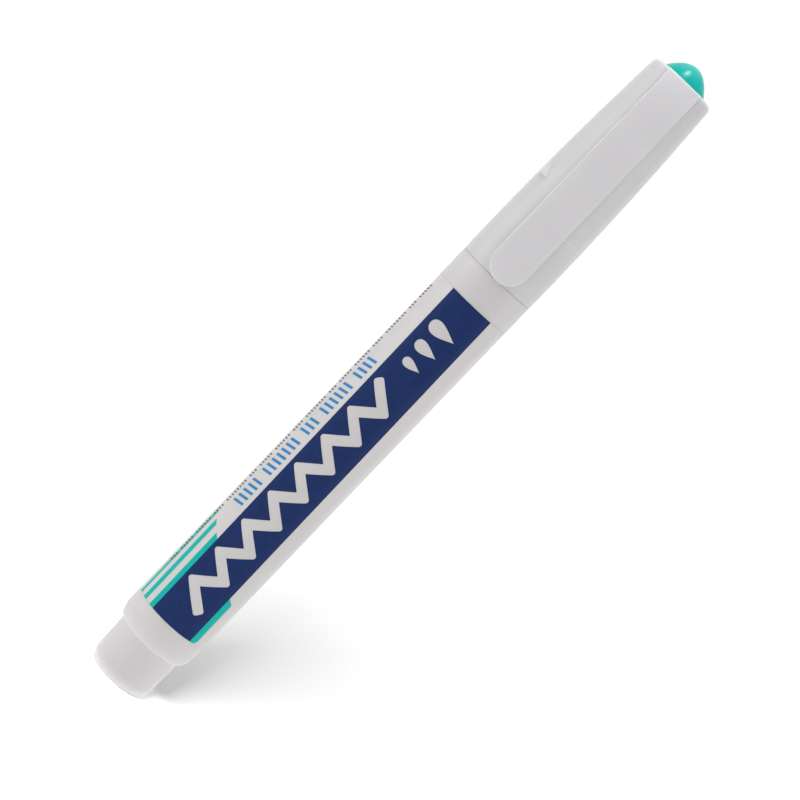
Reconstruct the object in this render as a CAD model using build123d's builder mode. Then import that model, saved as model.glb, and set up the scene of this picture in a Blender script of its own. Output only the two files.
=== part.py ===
"""Correction pen: a squeeze barrel with a ball-valve tip and a pull-off cap with a clip. Millimetres.

The pen stands on its tail. +Z runs up its axis to the cap, the origin is the
centre of the flat tail end, and the clip faces -Y.
"""
import math
import os

from build123d import *

# Barrel: a blow-moulded squeeze bottle with a stepped tail and a narrower neck
barrel_diameter = 14.6
barrel_wall = 1.0
barrel_rim_height = 92.55     # tail end to the rim that the cap stops at
rim_bevel_width = 0.15
rim_bevel_height = 0.4
tail_step = 1.2               # radius lost at the step, so that the cap posts on the tail
tail_draft = 0.2              # radius lost from the step to the tail end
tail_height = 8.75
tail_edge_radius = 2.3
tail_floor = 1.2
tail_floor_radius = 1.4
shoulder_height = 3.1
neck_height = 6.0
neck_slope_height = 1.2       # inside, where the bore narrows to the neck
snap_bead_clearance = 0.08    # to the cap's bore
snap_bead_width = 0.6

# Label: a printed film that lies flush in a shallow recess of the barrel
label_thickness = 0.08
label_bottom_margin = 2.4     # above the shoulder
label_top_margin = 5.6        # below the rim

# Mixing ball: loose in the barrel
mixing_ball_diameter = 6.0
mixing_ball_clearance = 0.05

# Nose: a moulded cone that plugs the neck and carries the tip
nose_plug_length = 5.2
nose_plug_wall = 1.2
nose_plug_lead = 0.4
seal_groove_count = 2
seal_groove_width = 0.6
seal_groove_depth = 0.15
flange_height = 1.2
flange_inset = 0.1
flange_edge_radius = 0.25
flange_ledge = 1.05           # from the flange's edge in to the nose
nose_body_length = 6.8
nose_shoulder_radius = 0.9
nose_cone_angle = 31.6        # half angle, degrees
nose_front_lip = 0.375        # flat ring round the tip

# Tip: turned metal, pressed into the nose, with a rim rolled over the ball
tip_diameter = 3.4
tip_wall = 0.5
tip_skirt_length = 2.8        # behind the spring's seat
tip_ledge = 0.7               # ledge in the nose that the tip stands on
tip_cylinder_length = 3.1     # in front of the nose
tip_cone_length = 2.3
tip_cone_end_diameter = 2.05
tip_groove_width = 0.22
tip_groove_depth = 0.1
tip_nose_length = 0.9
tip_rim_wall = 0.08
tip_channel_length = 1.6

# Writing ball
ball_diameter = 1.0
ball_clearance = 0.02
ball_rise_share = 0.34        # of the ball's diameter, above the rim
ball_float = 0.25             # room behind the ball for its travel

# Valve pin, its spring and the stopper that holds the spring
pin_diameter = 0.5
pin_ball_gap = 0.01
pin_channel_clearance = 0.1
pin_flange_height = 0.8
pin_flange_clearance = 0.15
pin_flange_drop = 0.5         # chamber top to the flange
pin_stub_length = 1.0
spring_wire = 0.2
spring_clearance = 0.1
spring_turns = 5
spring_pitch = 0.72
spring_end_gap = 0.02
seat_height = 1.2
seat_hole_diameter = 0.9

# Cap: tapered outer shell over a sealing liner
cap_wall = 1.0
cap_mouth_gap = 0.1           # between the mouth and the barrel's rim
cap_length = 44.05
cap_straight_length = 5.3     # from the mouth to where the taper starts
cap_taper = 1.2               # radius lost from the mouth to the top
cap_top_fillet = 1.0
cap_top_wall = 2.0
cap_seat_wall = 0.5           # left under the clip's seat at the top
cap_fit_clearance = 0.15
mouth_bevel = 0.3

# Thumb catch: a small wedge on the cap's left flank, with its steep end towards the mouth
catch_angle = 62.0            # degrees from the clip
catch_height = 17.5           # of its steep end, above the mouth
catch_length = 3.9
catch_width = 3.2
catch_rise = 0.25
catch_root = 0.3              # how far it reaches into the cap's wall
catch_tip_sink = 0.02         # its tip lies this far under the cap's surface
catch_tip_inset = 0.2         # from the tip to the side away from the clip

# Clip: a flat strip along the cap's front, free below its top edge
clip_width = 7.0
clip_thickness = 1.3
clip_top_proud = 0.2          # outer face past the cap's top edge
clip_end_gap = 1.0            # inner face to the cap, at the mouth
clip_seat_gap = 0.15
clip_edge_radius = 0.2
clip_bead_radius = 0.5
clip_bead_height = 4.2        # above the mouth
clip_bead_inset = 0.6

# Liner and its soft pad
liner_wall = 0.65
liner_fit_clearance = 0.05    # to the cap, which can turn on it
liner_seal_clearance = 0.05   # to the nose
liner_flange_gap = 0.6
liner_cone_gap = 0.4
liner_tip_gap = 0.5
liner_neck_wall = 0.8         # round the tip
liner_roof = 1.2
liner_top_gap = 0.1
pad_height = 1.1
pad_ball_gap = 0.15

# End plug: a dome with a stem pressed into the cap's top
dome_margin = 1.8             # from the cap's top edge in to the dome
dome_height = 3.1
dome_lip = 1.1                # past the stem
stem_length = 5.0
stem_wall = 1.2

overrun = 1.0                 # how far cuts run past the faces they open

# Places that follow from the sizes above
barrel_radius = barrel_diameter / 2
barrel_bore = barrel_radius - barrel_wall
tail_radius = barrel_radius - tail_step
tail_bore = tail_radius - barrel_wall
shoulder_top = tail_height + shoulder_height
label_bottom = shoulder_top + label_bottom_margin
label_top = barrel_rim_height - label_top_margin
recess_radius = barrel_radius - label_thickness
cap_bore = barrel_radius - cap_wall
neck_radius = cap_bore - cap_fit_clearance
neck_bore = neck_radius - barrel_wall
neck_top = barrel_rim_height + neck_height
inner_slope_top = barrel_rim_height - barrel_wall

flange_radius = neck_radius - flange_inset
flange_top = neck_top + flange_height
nose_radius = flange_radius - flange_ledge
tip_radius = tip_diameter / 2
nose_front_radius = tip_radius + nose_front_lip
nose_cone_base = flange_top + nose_body_length
nose_cone_height = (nose_radius - nose_front_radius) / math.tan(math.radians(nose_cone_angle))
nose_front = nose_cone_base + nose_cone_height
plug_bottom = neck_top - nose_plug_length
plug_bore = neck_bore - nose_plug_wall

feed_radius = tip_radius - tip_ledge
tip_cylinder_top = nose_front + tip_cylinder_length
tip_cone_top = tip_cylinder_top + tip_cone_length
tip_groove_top = tip_cone_top + tip_groove_width
tip_rim = tip_groove_top + tip_nose_length
tip_cone_end_radius = tip_cone_end_diameter / 2
tip_groove_radius = tip_cone_end_radius - tip_groove_depth
ball_radius = ball_diameter / 2
ball_centre = tip_rim + ball_diameter * ball_rise_share - ball_radius
ball_cup_radius = ball_radius + ball_clearance
rim_mouth_radius = math.sqrt(ball_radius**2 - (tip_rim - ball_centre) ** 2) + ball_clearance
ball_seat = ball_centre - ball_radius - ball_float
pin_radius = pin_diameter / 2
channel_radius = pin_radius + pin_channel_clearance
channel_bottom = ball_seat - tip_channel_length
chamber_radius = tip_radius - tip_wall
chamber_top = channel_bottom - (chamber_radius - channel_radius)

pin_top = ball_centre - ball_radius - pin_ball_gap
pin_flange_top = chamber_top - pin_flange_drop
pin_flange_bottom = pin_flange_top - pin_flange_height
pin_flange_radius = chamber_radius - pin_flange_clearance
spring_radius = chamber_radius - spring_clearance - spring_wire / 2
spring_top = pin_flange_bottom - spring_end_gap - spring_wire / 2
spring_bottom = spring_top - spring_turns * spring_pitch
seat_top = spring_bottom - spring_wire / 2 - spring_end_gap
seat_bottom = seat_top - seat_height
tip_bottom = seat_bottom - tip_skirt_length

mouth = barrel_rim_height + cap_mouth_gap
cap_top = mouth + cap_length
cap_top_radius = barrel_radius - cap_taper
taper_start = mouth + cap_straight_length
taper_rise = cap_top - taper_start
taper_radius = (taper_rise**2 + cap_taper**2) / (2 * cap_taper)
clip_top_reach = cap_top_radius + clip_top_proud
clip_end_reach = barrel_radius + clip_end_gap + clip_thickness
clip_slope = (clip_end_reach - clip_top_reach) / cap_length
clip_seat_depth = clip_thickness + clip_seat_gap
upper_hollow = clip_top_reach - clip_seat_depth - cap_seat_wall

liner_bore = nose_radius + liner_seal_clearance
liner_radius = liner_bore + liner_wall
liner_bottom = flange_top + liner_flange_gap
pad_bottom = ball_centre + ball_radius + pad_ball_gap
pad_top = pad_bottom + pad_height
liner_top = pad_top + liner_roof
liner_tip_bore = tip_radius + liner_tip_gap
liner_shoulder = nose_front + liner_cone_gap + liner_wall
liner_neck_radius = liner_tip_bore + liner_neck_wall
liner_step = liner_bottom - liner_flange_gap / 2
liner_stop = liner_shoulder + liner_top_gap

dome_radius = cap_top_radius - dome_margin
stem_radius = dome_radius - dome_lip
stem_bore = stem_radius - stem_wall


def clip_face(height, inward):
    """Y of the clip's outer face at a height, moved in towards the axis."""
    return inward - clip_top_reach - (cap_top - height) * clip_slope


def cap_radius(height):
    """Outer radius of the cap on its tapered arc."""
    run = height - taper_start
    return barrel_radius - taper_radius + math.sqrt(taper_radius**2 - run**2)


os.makedirs("parts", exist_ok=True)

# Barrel
with BuildPart() as barrel:
    tail_end_radius = tail_radius - tail_draft
    tail_bore_end = tail_bore - tail_draft
    with BuildSketch(Plane.XZ):
        with BuildLine():
            Line((0, 0), (tail_end_radius - tail_edge_radius, 0))
            RadiusArc(
                (tail_end_radius - tail_edge_radius, 0),
                (tail_end_radius, tail_edge_radius),
                -tail_edge_radius,
            )
            Line((tail_end_radius, tail_edge_radius), (tail_radius, tail_height))
            EllipticalCenterArc(
                (tail_radius, shoulder_top),
                barrel_radius - tail_radius,
                shoulder_height,
                start_angle=270,
                arc_size=90,
            )
            Polyline(
                (barrel_radius, shoulder_top),
                (barrel_radius, label_bottom),
                (recess_radius, label_bottom),
                (recess_radius, label_top),
                (barrel_radius, label_top),
                (barrel_radius, barrel_rim_height - rim_bevel_height),
                (barrel_radius - rim_bevel_width, barrel_rim_height),
                (neck_radius, barrel_rim_height),
                (neck_radius, neck_top),
                (neck_bore, neck_top),
                (neck_bore, inner_slope_top),
                (barrel_bore, inner_slope_top - neck_slope_height),
                (barrel_bore, shoulder_top),
            )
            EllipticalCenterArc(
                (tail_bore, shoulder_top),
                barrel_bore - tail_bore,
                shoulder_height - barrel_wall,
                start_angle=270,
                arc_size=90,
            )
            Line((tail_bore, tail_height + barrel_wall), (tail_bore_end, tail_floor + tail_floor_radius))
            RadiusArc(
                (tail_bore_end, tail_floor + tail_floor_radius),
                (tail_bore_end - tail_floor_radius, tail_floor),
                tail_floor_radius,
            )
            Line((tail_bore_end - tail_floor_radius, tail_floor), (0, tail_floor))
            Line((0, tail_floor), (0, 0))
        make_face()
    revolve(axis=Axis.Z)
    # The bead that the cap grips when it is pushed home
    with BuildSketch(Plane.XZ):
        with BuildLine():
            bead_bottom = (neck_radius, barrel_rim_height + neck_height / 2 - snap_bead_width / 2)
            bead_top = (neck_radius, barrel_rim_height + neck_height / 2 + snap_bead_width / 2)
            SagittaArc(bead_bottom, bead_top, snap_bead_clearance - cap_fit_clearance)
            Line(bead_top, bead_bottom)
        make_face()
    revolve(axis=Axis.Z)

# Label
with BuildPart() as label:
    with BuildSketch(Plane.XY.offset(label_bottom)):
        Circle(barrel_radius)
        Circle(recess_radius, mode=Mode.SUBTRACT)
    extrude(amount=label_top - label_bottom)

# Mixing ball
with BuildPart() as mixing_ball:
    rest_height = tail_floor + mixing_ball_clearance + mixing_ball_diameter / 2
    with Locations((0, 0, rest_height)):
        Sphere(mixing_ball_diameter / 2)

# Nose
with BuildPart() as nose:
    with BuildSketch(Plane.XZ):
        with BuildLine():
            FilletPolyline(
                (plug_bore, plug_bottom),
                (neck_bore - nose_plug_lead, plug_bottom),
                (neck_bore, plug_bottom + nose_plug_lead),
                (neck_bore, neck_top),
                (flange_radius, neck_top),
                (flange_radius, flange_top),
                (nose_radius, flange_top),
                (nose_radius, nose_cone_base),
                (nose_front_radius, nose_front),
                (tip_radius, nose_front),
                (tip_radius, tip_bottom),
                (feed_radius, tip_bottom),
                (feed_radius, flange_top),
                (plug_bore, neck_top),
                radius=[0, 0, 0, 0, 0, flange_edge_radius, 0, nose_shoulder_radius, 0, 0, 0, 0, 0, 0],
                close=True,
            )
        make_face()
    revolve(axis=Axis.Z)
    # Grooves that leave sealing lands on the plug
    groove_step = (nose_plug_length - nose_plug_lead) / (seal_groove_count + 1)
    for index in range(seal_groove_count):
        groove_height = plug_bottom + nose_plug_lead + groove_step * (index + 1)
        with BuildSketch(Plane.XZ):
            with Locations((neck_bore, groove_height)):
                Rectangle(2 * seal_groove_depth, seal_groove_width)
        revolve(axis=Axis.Z, mode=Mode.SUBTRACT)

# Tip
with BuildPart() as tip:
    with BuildSketch(Plane.XZ):
        with BuildLine():
            Polyline(
                (chamber_radius, tip_bottom),
                (tip_radius, tip_bottom),
                (tip_radius, tip_cylinder_top),
                (tip_cone_end_radius, tip_cone_top),
                (tip_groove_radius, tip_cone_top),
                (tip_groove_radius, tip_groove_top),
                (tip_cone_end_radius, tip_groove_top),
                (rim_mouth_radius + tip_rim_wall, tip_rim),
                (rim_mouth_radius, tip_rim),
                (ball_cup_radius, ball_centre),
                (ball_cup_radius, ball_seat),
                (channel_radius, ball_seat),
                (channel_radius, channel_bottom),
                (chamber_radius, chamber_top),
                close=True,
            )
        make_face()
    revolve(axis=Axis.Z)

# Writing ball
with BuildPart() as writing_ball:
    with Locations((0, 0, ball_centre)):
        Sphere(ball_radius)

# Valve pin
with BuildPart() as valve_pin:
    with BuildSketch(Plane.XZ):
        with BuildLine():
            Polyline(
                (0, pin_flange_bottom - pin_stub_length),
                (pin_radius, pin_flange_bottom - pin_stub_length),
                (pin_radius, pin_flange_bottom),
                (pin_flange_radius, pin_flange_bottom),
                (pin_flange_radius, pin_flange_top),
                (pin_radius, pin_flange_top),
                (pin_radius, pin_top),
                (0, pin_top),
                close=True,
            )
        make_face()
    revolve(axis=Axis.Z)


def coil_point(turn):
    """Point and direction of the spring's centre line after so many turns."""
    angle = 2 * math.pi * turn
    place = Vector(
        spring_radius * math.cos(angle), spring_radius * math.sin(angle), spring_bottom + spring_pitch * turn
    )
    rise = spring_pitch / (2 * math.pi)
    heading = Vector(-spring_radius * math.sin(angle), spring_radius * math.cos(angle), rise)
    return place, heading.normalized()


# Valve spring: each quarter turn is two arcs that share a tangent
with BuildPart() as valve_spring:
    with BuildLine():
        quarters = 4 * spring_turns
        for quarter in range(quarters):
            start, start_heading = coil_point(quarter / 4)
            end, end_heading = coil_point((quarter + 1) / 4)
            chord = end - start
            lean = start_heading + end_heading
            square = 2 * (start_heading.dot(end_heading) - 1)
            slope = -2 * chord.dot(lean)
            reach = (-slope - math.sqrt(slope**2 - 4 * square * chord.dot(chord))) / (2 * square)
            near = start + start_heading * reach
            far = end - end_heading * reach
            middle = (near + far) * 0.5
            TangentArc(start, middle, tangent=start_heading)
            TangentArc(middle, end, tangent=far - near)
    first_place, first_heading = coil_point(0)
    with BuildSketch(Plane(origin=first_place, z_dir=first_heading)):
        Circle(spring_wire / 2)
    sweep()

# Spring seat
with BuildPart() as spring_seat:
    with BuildSketch(Plane.XY.offset(seat_bottom)):
        Circle(chamber_radius)
        Circle(seat_hole_diameter / 2, mode=Mode.SUBTRACT)
    extrude(amount=seat_height)

# Cap
with BuildPart() as cap_body:
    with BuildSketch(Plane.XZ):
        with BuildLine():
            Polyline((0, mouth), (barrel_radius, mouth), (barrel_radius, taper_start))
            TangentArc((barrel_radius, taper_start), (cap_top_radius, cap_top), tangent=(0, 1))
            Polyline((cap_top_radius, cap_top), (0, cap_top), (0, mouth))
        make_face()
    revolve(axis=Axis.Z)
    fillet(edges().filter_by(GeomType.CIRCLE).sort_by(Axis.Z)[-1], radius=cap_top_fillet)
    # Hollow: the neck's bore, the liner's bore, the space over the liner and the plug's hole
    with BuildSketch(Plane.XZ):
        with BuildLine():
            Polyline(
                (0, mouth - overrun),
                (cap_bore + mouth_bevel + overrun, mouth - overrun),
                (cap_bore + mouth_bevel, mouth),
                (cap_bore, mouth + mouth_bevel),
                (cap_bore, liner_step),
                (liner_radius + liner_fit_clearance, liner_step),
                (liner_radius + liner_fit_clearance, liner_stop),
                (upper_hollow, liner_stop),
                (upper_hollow, cap_top - cap_top_wall),
                (stem_radius, cap_top - cap_top_wall),
                (stem_radius, cap_top + overrun),
                (0, cap_top + overrun),
                close=True,
            )
        make_face()
    revolve(axis=Axis.Z, mode=Mode.SUBTRACT)
    # Flat that the clip lies on
    with BuildSketch(Plane.YZ):
        with BuildLine():
            Polyline(
                (clip_face(cap_top + overrun, clip_seat_depth), cap_top + overrun),
                (-barrel_diameter, cap_top + overrun),
                (-barrel_diameter, mouth),
                (clip_face(mouth, clip_seat_depth), mouth),
                close=True,
            )
        make_face()
    extrude(amount=barrel_radius, both=True, mode=Mode.SUBTRACT)
    # Thumb catch: a sloping ring, of which a triangle is kept
    catch_end = mouth + catch_height
    catch_tip = catch_end + catch_length
    with BuildPart(mode=Mode.PRIVATE) as catch:
        with BuildSketch(Plane.XZ):
            with BuildLine():
                Polyline(
                    (cap_radius(catch_end) - catch_root, catch_end),
                    (cap_radius(catch_end) + catch_rise, catch_end),
                    (cap_radius(catch_tip) - catch_tip_sink, catch_tip),
                    (cap_radius(catch_tip) - catch_root, catch_tip),
                    close=True,
                )
            make_face()
        revolve(axis=Axis.Z)
        outward = Vector(-math.sin(math.radians(catch_angle)), -math.cos(math.radians(catch_angle)), 0)
        with BuildSketch(Plane(origin=(0, 0, 0), x_dir=Vector(0, 0, 1).cross(outward), z_dir=outward)):
            with BuildLine():
                Polyline(
                    (-catch_width / 2, catch_end),
                    (catch_width / 2, catch_end),
                    (catch_tip_inset - catch_width / 2, catch_tip),
                    close=True,
                )
            make_face()
        extrude(amount=barrel_diameter, mode=Mode.INTERSECT)
    add(catch.part)

# Clip
with BuildPart() as clip:
    half_width = clip_width / 2
    with BuildSketch(Plane.XZ):
        with BuildLine():
            Polyline(
                (-half_width, mouth + half_width),
                (-half_width, cap_top),
                (half_width, cap_top),
                (half_width, mouth + half_width),
            )
            ThreePointArc((half_width, mouth + half_width), (0, mouth), (-half_width, mouth + half_width))
        make_face()
    extrude(amount=clip_end_reach + overrun)
    with BuildSketch(Plane.YZ):
        with BuildLine():
            Polyline(
                (clip_face(cap_top, 0), cap_top),
                (clip_face(cap_top, clip_thickness), cap_top),
                (clip_face(mouth, clip_thickness), mouth),
                (clip_face(mouth, 0), mouth),
                close=True,
            )
        make_face()
    extrude(amount=clip_width, both=True, mode=Mode.INTERSECT)
    fillet(faces().sort_by(Axis.Y)[0].edges(), radius=clip_edge_radius)
    # Bead on the inner face that grips cloth
    bead_height = mouth + clip_bead_height
    with BuildSketch(Plane.YZ):
        with Locations((clip_face(bead_height, clip_thickness), bead_height)):
            Circle(clip_bead_radius)
    extrude(amount=half_width - clip_bead_inset, both=True)

# Liner
with BuildPart() as inner_cap:
    with BuildSketch(Plane.XZ):
        with BuildLine():
            Polyline(
                (liner_bore, liner_bottom),
                (liner_radius, liner_bottom),
                (liner_radius, liner_shoulder),
                (liner_neck_radius, liner_shoulder),
                (liner_neck_radius, liner_top),
                (0, liner_top),
                (0, pad_top),
                (liner_tip_bore, pad_top),
                (liner_tip_bore, liner_shoulder - liner_wall),
                (liner_bore, nose_cone_base + liner_cone_gap),
                close=True,
            )
        make_face()
    revolve(axis=Axis.Z)

# Tip seal
with BuildPart() as tip_seal:
    with BuildSketch(Plane.XY.offset(pad_bottom)):
        Circle(liner_tip_bore)
    extrude(amount=pad_height)

# End plug
with BuildPart() as end_plug:
    stem_bottom = cap_top - stem_length
    with BuildSketch(Plane.XZ):
        with BuildLine():
            Polyline((0, cap_top), (stem_bore, cap_top - cap_top_wall))
            Polyline(
                (stem_bore, cap_top - cap_top_wall),
                (stem_bore, stem_bottom),
                (stem_radius, stem_bottom),
                (stem_radius, cap_top),
                (dome_radius, cap_top),
            )
            Bezier(
                (dome_radius, cap_top),
                (dome_radius / 2, cap_top + dome_height),
                (0, cap_top + dome_height),
            )
            Line((0, cap_top + dome_height), (0, cap_top))
        make_face()
    revolve(axis=Axis.Z)

pieces = {
    "barrel": barrel,
    "label": label,
    "mixing_ball": mixing_ball,
    "nose": nose,
    "tip": tip,
    "writing_ball": writing_ball,
    "valve_pin": valve_pin,
    "valve_spring": valve_spring,
    "spring_seat": spring_seat,
    "cap_body": cap_body,
    "clip": clip,
    "inner_cap": inner_cap,
    "tip_seal": tip_seal,
    "end_plug": end_plug,
}
for name, piece in pieces.items():
    piece.part.label = name
    export_step(piece.part, f"parts/{name}.step")
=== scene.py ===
import math

import bpy
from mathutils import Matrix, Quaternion, Vector


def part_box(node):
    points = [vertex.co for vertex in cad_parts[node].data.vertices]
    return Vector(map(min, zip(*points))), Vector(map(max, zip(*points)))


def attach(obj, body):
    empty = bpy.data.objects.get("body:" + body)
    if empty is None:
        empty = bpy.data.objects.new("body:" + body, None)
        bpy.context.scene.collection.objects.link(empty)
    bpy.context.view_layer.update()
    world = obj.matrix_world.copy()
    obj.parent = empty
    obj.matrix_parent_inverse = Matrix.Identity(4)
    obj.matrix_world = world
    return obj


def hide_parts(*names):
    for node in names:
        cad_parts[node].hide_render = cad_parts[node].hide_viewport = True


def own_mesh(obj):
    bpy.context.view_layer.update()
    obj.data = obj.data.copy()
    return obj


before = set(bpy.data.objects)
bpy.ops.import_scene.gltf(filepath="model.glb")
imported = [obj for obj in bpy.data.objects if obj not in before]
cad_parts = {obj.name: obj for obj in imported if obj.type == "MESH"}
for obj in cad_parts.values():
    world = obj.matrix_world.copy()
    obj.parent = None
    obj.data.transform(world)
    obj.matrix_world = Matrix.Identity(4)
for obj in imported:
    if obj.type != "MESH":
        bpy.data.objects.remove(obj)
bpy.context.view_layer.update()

# Barrel
# A squeeze bottle, blow moulded in one piece from white polyethylene. Its tail steps in so that
# the cap can be posted there, its middle is recessed for the label, and its neck takes the cap.
MM = 0.001
WELD = 0.002 * MM
barrel_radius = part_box("barrel")[1].x / MM
neck_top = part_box("barrel")[1].z / MM
label_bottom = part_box("label")[0].z / MM
label_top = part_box("label")[1].z / MM
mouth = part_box("cap_body")[0].z / MM
mouth_gap = 0.02              # the cap's mouth all but rests on the rim
rim_height = mouth - mouth_gap
rim_edge = 0.08
rim_root = 0.1
barrel_wall = 1.0
tail_radius = 6.1
tail_end_radius = 5.9
tail_edge = 2.3
tail_height = 8.75
tail_floor = 1.2
tail_floor_edge = 1.4
step_edge = 0.3               # where the tail meets the shoulder
shoulder_top = 11.85
shoulder_start = -62          # degrees round the shoulder's curve
recess_radius = 7.25
recess_edge = 0.03
recess_root = 0.02
neck_radius = 6.15
neck_bore = 5.15
neck_edge = 0.2
neck_bore_edge = 0.1
neck_slope = 1.2              # inside, where the bore narrows to the neck
neck_slope_edge = 0.3
bead_height = neck_top - 3.0
bead_width = 0.6
bead_rise = 0.07


def started(name, add_primitive, **sizes):
    """Adds a primitive with nothing else selected, and names it."""
    bpy.ops.object.select_all(action="DESELECT")
    add_primitive(**sizes)
    piece = bpy.context.object
    piece.name = name
    piece.data.name = name
    return piece


def rounded(corners, arc_steps=6):
    """The closed outline through corners of (radius, height, rounding), with each corner an arc."""
    points = []
    for index, (radius, height, rounding) in enumerate(corners):
        corner = Vector((radius, height))
        if not rounding:
            points.append(corner)
            continue
        back = (Vector(corners[index - 1][:2]) - corner).normalized()
        ahead = (Vector(corners[(index + 1) % len(corners)][:2]) - corner).normalized()
        half_angle = back.angle(ahead) / 2
        centre = corner + (back + ahead).normalized() * rounding / math.sin(half_angle)
        first = corner + back * rounding / math.tan(half_angle) - centre
        last = corner + ahead * rounding / math.tan(half_angle) - centre
        for step in range(arc_steps + 1):
            points.append(centre + first.lerp(last, step / arc_steps).normalized() * rounding)
    return points


def ellipse(centre, across, up, start, end, steps):
    """Corners along an elliptical arc, between two angles in degrees."""
    corners = []
    for step in range(steps + 1):
        angle = math.radians(start + (end - start) * step / steps)
        corners.append((centre[0] + across * math.cos(angle), centre[1] + up * math.sin(angle), 0))
    return corners


def faced_out():
    """Turns the faces of the mesh in edit mode outwards, and leaves edit mode."""
    bpy.ops.mesh.select_all(action="SELECT")
    bpy.ops.mesh.normals_make_consistent(inside=False)
    bpy.ops.object.mode_set(mode="OBJECT")


def turned(name, outline, steps=144):
    """Spins a closed outline of (radius, height) about the pen's axis."""
    piece = started(name, bpy.ops.mesh.primitive_circle_add, vertices=len(outline))
    for vertex, (radius, height) in zip(piece.data.vertices, outline):
        vertex.co = (radius * MM, 0, height * MM)
    bpy.ops.object.mode_set(mode="EDIT")
    bpy.ops.mesh.select_all(action="SELECT")
    bpy.ops.mesh.spin(steps=steps, angle=2 * math.pi, center=(0, 0, 0), axis=(0, 0, 1))
    bpy.ops.mesh.select_all(action="SELECT")
    bpy.ops.mesh.remove_doubles(threshold=WELD)
    bpy.ops.mesh.delete_loose()
    faced_out()
    return piece


def chosen(piece):
    """Selects one piece alone and makes it active."""
    bpy.ops.object.select_all(action="DESELECT")
    piece.select_set(True)
    bpy.context.view_layer.objects.active = piece


def smoothed(piece, angle=32):
    """Shades a piece smooth, with edges sharper than the angle left crisp."""
    chosen(piece)
    bpy.ops.object.shade_smooth_by_angle(angle=math.radians(angle))


def linear(code):
    """Linear colour of an sRGB hex value."""
    channels = [int(code[place:place + 2], 16) / 255 for place in (1, 3, 5)]
    return (*[c / 12.92 if c <= 0.04045 else ((c + 0.055) / 1.055) ** 2.4 for c in channels], 1)


def node(tree, kind, inputs, **settings):
    """Adds a node; an input is a value for its socket, or another node's socket to link to it."""
    added = tree.nodes.new("ShaderNode" + kind)
    for name, value in settings.items():
        setattr(added, name, value)
    for name, value in inputs.items():
        if isinstance(value, bpy.types.NodeSocket):
            tree.links.new(value, added.inputs[name])
        else:
            added.inputs[name].default_value = value
    return added


def surfaced(name):
    """A new material, its node tree, its shader and its Object coordinates."""
    material = bpy.data.materials.new(name)
    material.use_nodes = True
    tree = material.node_tree
    place = tree.nodes.new("ShaderNodeTexCoord").outputs["Object"]
    return material, tree, tree.nodes["Principled BSDF"], place


def moulded(name, tint, shade, gloss, cloud_mm, grain_mm, grain_depth, glow=0.0):
    """Moulded plastic: faintly cloudy in colour, with a satin grain and a gloss that varies a little."""
    cloud_low, cloud_high = 0.3, 0.7
    gloss_swing = 0.04
    scatter_mm = 1.5
    material, tree, shader, place = surfaced(name)
    cloud = node(tree, "TexNoise", {"Vector": place, "Scale": 1 / (cloud_mm * MM), "Detail": 3.0})
    colour = node(tree, "ValToRGB", {"Fac": cloud.outputs["Fac"]})
    for stop, position, code in zip(colour.color_ramp.elements, (cloud_low, cloud_high), (tint, shade)):
        stop.position = position
        stop.color = linear(code)
    tree.links.new(colour.outputs["Color"], shader.inputs["Base Color"])
    sheen = node(
        tree, "MapRange",
        {
            "Value": cloud.outputs["Fac"], "From Min": cloud_low, "From Max": cloud_high,
            "To Min": gloss - gloss_swing, "To Max": gloss + gloss_swing,
        },
    )
    tree.links.new(sheen.outputs["Result"], shader.inputs["Roughness"])
    grain = node(tree, "TexNoise", {"Vector": place, "Scale": 1 / (grain_mm * MM), "Detail": 2.0})
    bump = node(
        tree, "Bump",
        {"Height": grain.outputs["Fac"], "Strength": 0.35, "Distance": grain_depth * MM},
    )
    tree.links.new(bump.outputs["Normal"], shader.inputs["Normal"])
    shader.inputs["IOR"].default_value = 1.5
    if glow:
        shader.inputs["Subsurface Weight"].default_value = glow
        shader.inputs["Subsurface Radius"].default_value = (1.0, 0.95, 0.9)
        shader.inputs["Subsurface Scale"].default_value = scatter_mm * MM
    return material


tail_wall_top = tail_height + barrel_wall
slope_top = rim_height - barrel_wall
barrel_bore = barrel_radius - barrel_wall
tail_bore = tail_radius - barrel_wall
tail_end_bore = tail_end_radius - barrel_wall
barrel_outline = [
    (0, 0, 0),
    (tail_end_radius, 0, tail_edge),
    (tail_radius, tail_height, step_edge),
    *ellipse(
        (tail_radius, shoulder_top), barrel_radius - tail_radius, shoulder_top - tail_height,
        start=shoulder_start, end=0, steps=14,
    ),
    (barrel_radius, label_bottom, recess_edge),
    (recess_radius, label_bottom, recess_root),
    (recess_radius, label_top, recess_root),
    (barrel_radius, label_top, recess_edge),
    (barrel_radius, rim_height, rim_edge),
    (neck_radius, rim_height, rim_root),
    *ellipse((neck_radius, bead_height), bead_rise, bead_width / 2, start=-90, end=90, steps=8),
    (neck_radius, neck_top, neck_edge),
    (neck_bore, neck_top, neck_bore_edge),
    (neck_bore, slope_top, neck_slope_edge),
    (barrel_bore, slope_top - neck_slope, neck_slope_edge),
    *ellipse(
        (tail_bore, shoulder_top), barrel_bore - tail_bore, shoulder_top - tail_wall_top,
        start=0, end=-90, steps=10,
    ),
    (tail_end_bore, tail_floor, tail_floor_edge),
    (0, tail_floor, 0),
]
barrel_shell = turned("barrel_shell", rounded(barrel_outline, arc_steps=8))
smoothed(barrel_shell)
# Polyethylene has a waxy satin skin, and light goes a little way into it
polyethylene = moulded(
    "polyethylene_blown", "#DBD8D8", "#D7D4D4",
    gloss=0.44, cloud_mm=9.0, grain_mm=0.35, grain_depth=0.006, glow=0.4,
)
barrel_shell.data.materials.append(polyethylene)
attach(barrel_shell, "pen")
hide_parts("barrel")

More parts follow.
